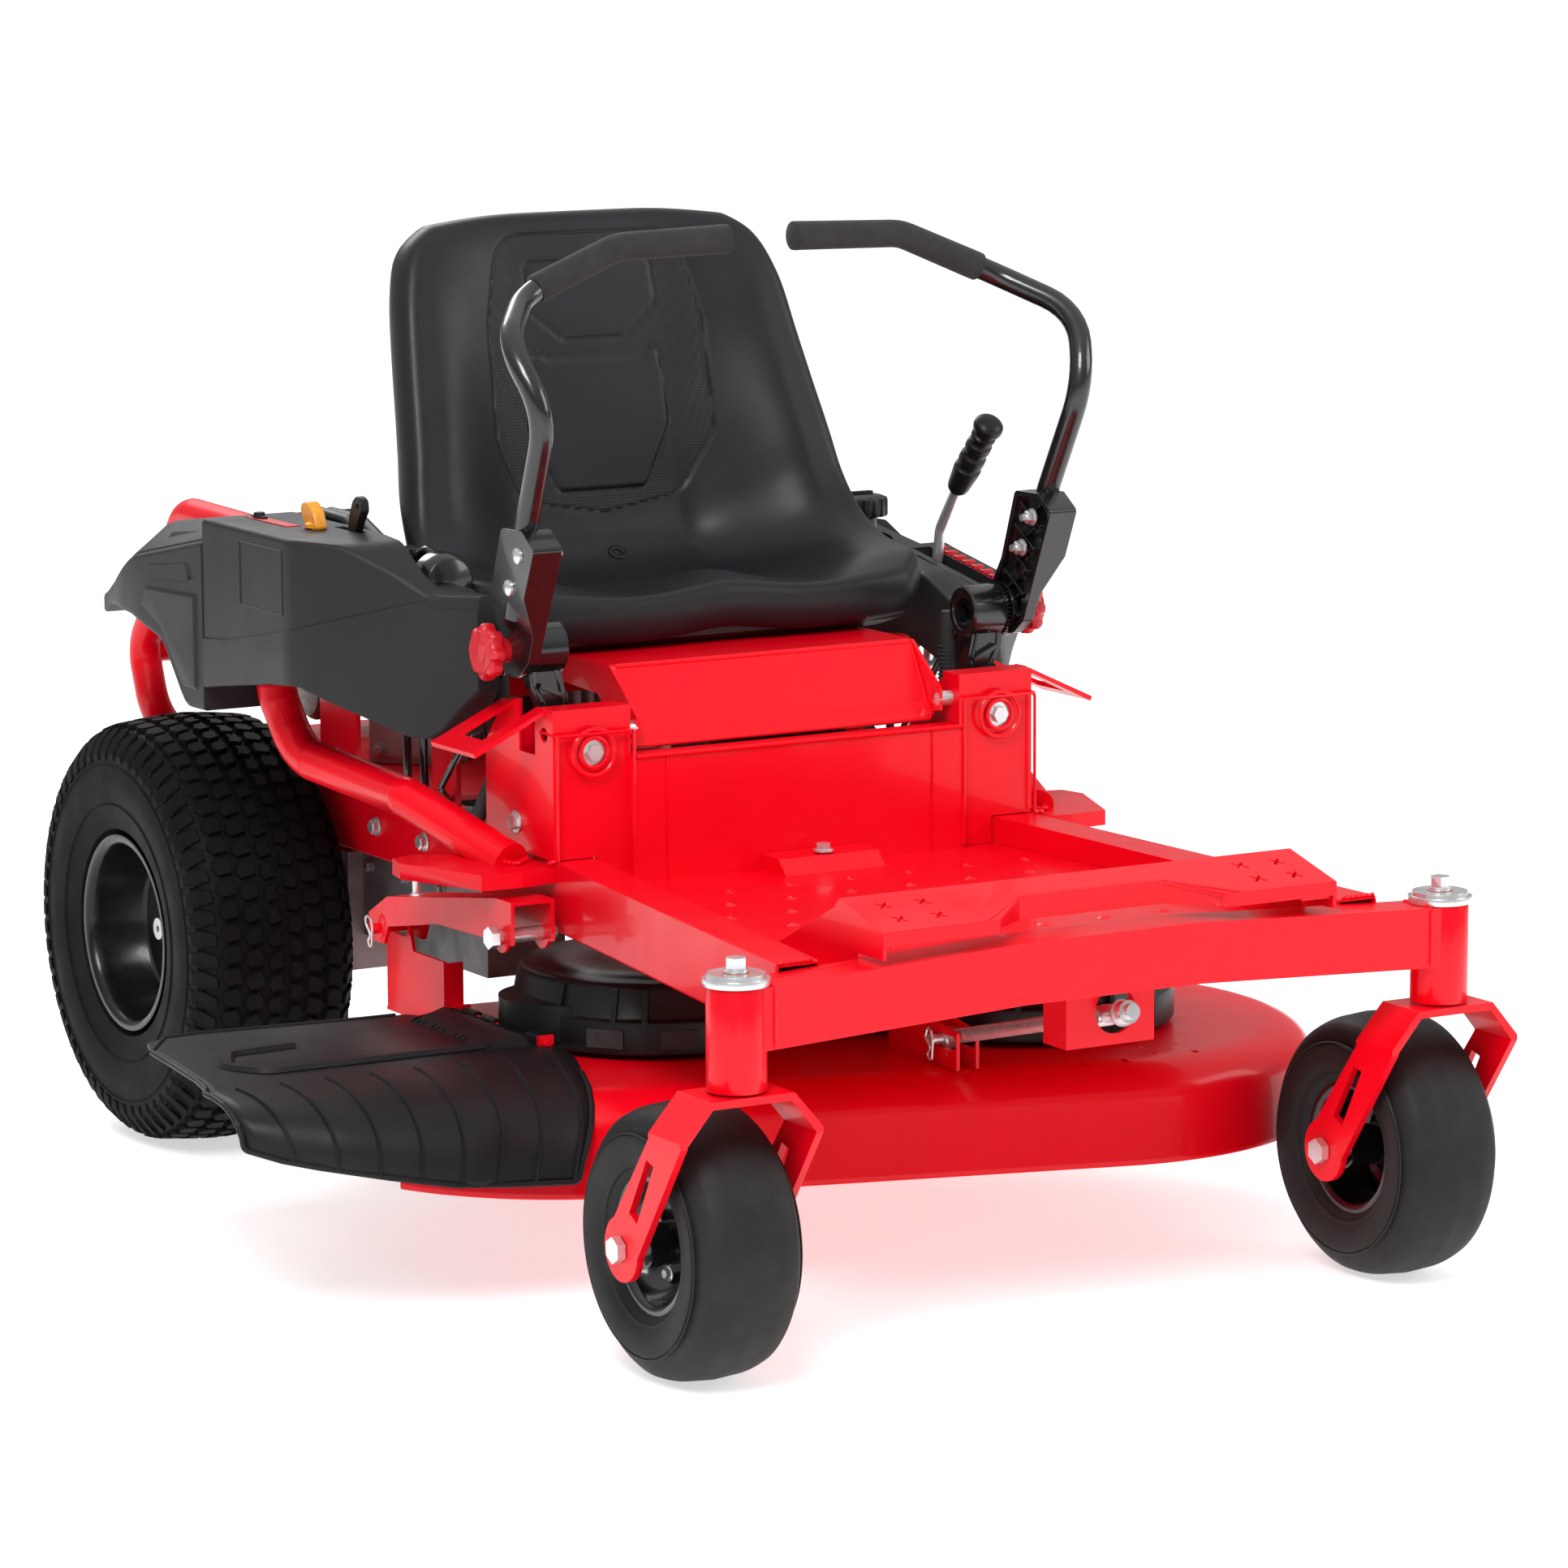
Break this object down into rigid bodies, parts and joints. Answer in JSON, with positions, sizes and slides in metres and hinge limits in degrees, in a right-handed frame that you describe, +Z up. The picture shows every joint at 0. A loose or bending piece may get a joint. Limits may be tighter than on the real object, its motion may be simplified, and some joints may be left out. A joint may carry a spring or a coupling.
{
  "type": "riding mower",
  "caption": "zero-turn riding lawn mower with a side-discharge deck under the floor pan, swivelling front casters, rear drive wheels, lap-bar steering and a tilting bucket seat",
  "frame": {"origin": "on the ground under the centre of the machine's outer box", "axes": "the front faces -Y, the operator's right side and the discharge chute are on -X, +Z is up"},
  "size_m": [1.2859, 1.6677, 1.0967],
  "materials": {
    "red_paint": "gloss powder coat",
    "black_paint": "gloss powder coat",
    "zinc": "zinc plated",
    "cast_grey": "as cast",
    "blade_steel": "ground edges",
    "exhaust_steel": "heat dulled",
    "seat_vinyl": "satin grained vinyl",
    "body_plastic": "matte moulded",
    "cover_plastic": "satin moulded",
    "knob_red": "satin moulded",
    "knob_yellow": "satin moulded",
    "grip_foam": "soft foam",
    "belt_rubber": "fabric backed",
    "tyre_rubber": "matte rubber"
  },
  "bodies": {
    "chassis": {"front_beam": "red_paint", "caster_bushings": "zinc", "side_rails": "red_paint", "foot_plate": "red_paint", "floor_pan": "red_paint", "towers": "red_paint", "side_guards": "red_paint", "console_right": "body_plastic", "console_left": "body_plastic", "fenders": "body_plastic", "rear_frame": "red_paint", "engine_guard": "red_paint", "engine_block": "cast_grey", "engine_shroud": "cover_plastic", "muffler": "exhaust_steel", "air_cleaner": "cover_plastic", "hydro_drives": "cast_grey", "fuel_tank": "cover_plastic", "battery": "cover_plastic", "frame_bolts": "zinc"},
    "caster_left": {"caster_fork_left": "red_paint", "caster_hardware_left": "zinc"},
    "caster_right": {"caster_fork_right": "red_paint", "caster_hardware_right": "zinc"},
    "caster_wheel_left": {"caster_tire_left": "tyre_rubber", "caster_rim_left": "black_paint"},
    "caster_wheel_right": {"caster_tire_right": "tyre_rubber", "caster_rim_right": "black_paint"},
    "rear_wheel_left": {"rear_tire_left": "tyre_rubber", "rear_rim_left": "black_paint", "rear_axle_left": "zinc"},
    "rear_wheel_right": {"rear_tire_right": "tyre_rubber", "rear_rim_right": "black_paint", "rear_axle_right": "zinc"},
    "lever_stand_left": {"lever_stand_left": "black_paint"},
    "lever_stand_right": {"lever_stand_right": "black_paint"},
    "lap_bar_left": {"lap_bar_left": "black_paint", "lap_grip_left": "grip_foam"},
    "lap_bar_right": {"lap_bar_right": "black_paint", "lap_grip_right": "grip_foam"},
    "knob_left": {"lever_knob_left": "knob_red"},
    "knob_right": {"lever_knob_right": "knob_red"},
    "seat": {"seat_base": "red_paint", "seat_cushion": "seat_vinyl"},
    "deck": {"deck_shell": "red_paint", "spindle_covers": "cover_plastic", "deck_hangers": "red_paint", "drive_belt": "belt_rubber"},
    "deflector": {"deflector": "body_plastic"},
    "blade_left": {"blade_left": "blade_steel", "spindle_left": "zinc"},
    "blade_right": {"blade_right": "blade_steel", "spindle_right": "zinc"},
    "lift_arms": {"lift_arms": "red_paint"},
    "lift_link": {"lift_link": "zinc"},
    "lift_lever": {"lift_lever": "zinc"},
    "clutch": {"clutch_pulley": "black_paint"},
    "pto_knob": {"pto_knob": "knob_yellow"},
    "throttle": {"throttle_lever": "cover_plastic"},
    "fuel_cap": {"fuel_cap": "cover_plastic"}
  },
  "joints": [
    {"name": "caster_swivel_left", "type": "hinge", "parent": "chassis", "child": "caster_left", "pos_m": [0.514, -0.78615, 0.36], "axis": [0, 0, 1], "continuous": true},
    {"name": "caster_spin_left", "type": "hinge", "parent": "caster_left", "child": "caster_wheel_left", "pos_m": [0.514, -0.69415, 0.1397], "axis": [1, 0, 0], "continuous": true},
    {"name": "drive_wheel_left", "type": "hinge", "parent": "chassis", "child": "rear_wheel_left", "pos_m": [0.47, 0.56485, 0.2493], "axis": [1, 0, 0], "continuous": true},
    {"name": "lever_swing_left", "type": "hinge", "parent": "chassis", "child": "lever_stand_left", "pos_m": [0.348, -0.12915, 0.545], "axis": [0, 1, 0], "range_deg": [0, 20]},
    {"name": "lap_bar_pivot_left", "type": "hinge", "parent": "lever_stand_left", "child": "lap_bar_left", "pos_m": [0.394, -0.11415, 0.65], "axis": [1, 0, 0], "range_deg": [-15, 15]},
    {"name": "knob_turn_left", "type": "hinge", "parent": "lap_bar_left", "child": "knob_left", "pos_m": [0.429, -0.11415, 0.65], "axis": [1, 0, 0], "range_deg": [-180, 180]},
    {"name": "caster_swivel_right", "type": "hinge", "parent": "chassis", "child": "caster_right", "pos_m": [-0.326, -0.78615, 0.36], "axis": [0, 0, 1], "continuous": true},
    {"name": "caster_spin_right", "type": "hinge", "parent": "caster_right", "child": "caster_wheel_right", "pos_m": [-0.326, -0.69415, 0.1397], "axis": [1, 0, 0], "continuous": true},
    {"name": "drive_wheel_right", "type": "hinge", "parent": "chassis", "child": "rear_wheel_right", "pos_m": [-0.282, 0.56485, 0.2493], "axis": [1, 0, 0], "continuous": true},
    {"name": "lever_swing_right", "type": "hinge", "parent": "chassis", "child": "lever_stand_right", "pos_m": [-0.16, -0.12915, 0.545], "axis": [0, -1, 0], "range_deg": [0, 20]},
    {"name": "lap_bar_pivot_right", "type": "hinge", "parent": "lever_stand_right", "child": "lap_bar_right", "pos_m": [-0.206, -0.11415, 0.65], "axis": [1, 0, 0], "range_deg": [-15, 15]},
    {"name": "knob_turn_right", "type": "hinge", "parent": "lap_bar_right", "child": "knob_right", "pos_m": [-0.241, -0.11415, 0.65], "axis": [1, 0, 0], "range_deg": [-180, 180]},
    {"name": "seat_hinge", "type": "hinge", "parent": "chassis", "child": "seat", "pos_m": [0.094, -0.16615, 0.564], "axis": [1, 0, 0], "range_deg": [0, 28]},
    {"name": "deck_height", "type": "slide", "parent": "chassis", "child": "deck", "axis": [0, 0, 1], "range_m": [-0.076, 0]},
    {"name": "deflector_hinge", "type": "hinge", "parent": "deck", "child": "deflector", "pos_m": [-0.231, -0.09615, 0.24], "axis": [0, 1, 0], "range_deg": [0, 50]},
    {"name": "blade_spin_right", "type": "hinge", "parent": "deck", "child": "blade_right", "pos_m": [-0.168, -0.13315, 0.2], "axis": [0, 0, 1], "continuous": true},
    {"name": "blade_spin_left", "type": "hinge", "parent": "deck", "child": "blade_left", "pos_m": [0.356, -0.28615, 0.2], "axis": [0, 0, 1], "continuous": true},
    {"name": "clutch_spin", "type": "hinge", "parent": "chassis", "child": "clutch", "pos_m": [0.094, 0.59385, 0.38], "axis": [0, 0, 1], "continuous": true},
    {"name": "lift_arms_pivot", "type": "hinge", "parent": "chassis", "child": "lift_arms", "pos_m": [0.438, -0.19615, 0.358], "axis": [1, 0, 0], "range_deg": [-18, 1]},
    {"name": "lift_link_pivot", "type": "hinge", "parent": "chassis", "child": "lift_link", "pos_m": [0.126, -0.74115, 0.325], "axis": [1, 0, 0], "range_deg": [-17, 1]},
    {"name": "lift_lever_pivot", "type": "hinge", "parent": "chassis", "child": "lift_lever", "pos_m": [0.474, 0.17385, 0.54], "axis": [1, 0, 0], "range_deg": [-1, 27]},
    {"name": "pto_pull", "type": "slide", "parent": "chassis", "child": "pto_knob", "axis": [0, 0, 1], "range_m": [0, 0.012]},
    {"name": "throttle_swing", "type": "hinge", "parent": "chassis", "child": "throttle", "pos_m": [-0.277, 0.13885, 0.742], "axis": [1, 0, 0], "range_deg": [-35, 0]},
    {"name": "fuel_cap_turn", "type": "hinge", "parent": "chassis", "child": "fuel_cap", "pos_m": [0.429, 0.26385, 0.722], "axis": [0, 0, 1], "range_deg": [0, 90]}
  ],
  "couplings": [
    {"joint": "lift_arms_pivot", "follows": "deck_height", "rad_per_m": 3.467},
    {"joint": "lift_link_pivot", "follows": "deck_height", "rad_per_m": 3.48},
    {"joint": "lift_lever_pivot", "follows": "deck_height", "rad_per_m": -5.97},
    {"joint": "blade_spin_left", "follows": "blade_spin_right", "ratio": 1},
    {"joint": "clutch_spin", "follows": "blade_spin_right", "ratio": 1}
  ]
}
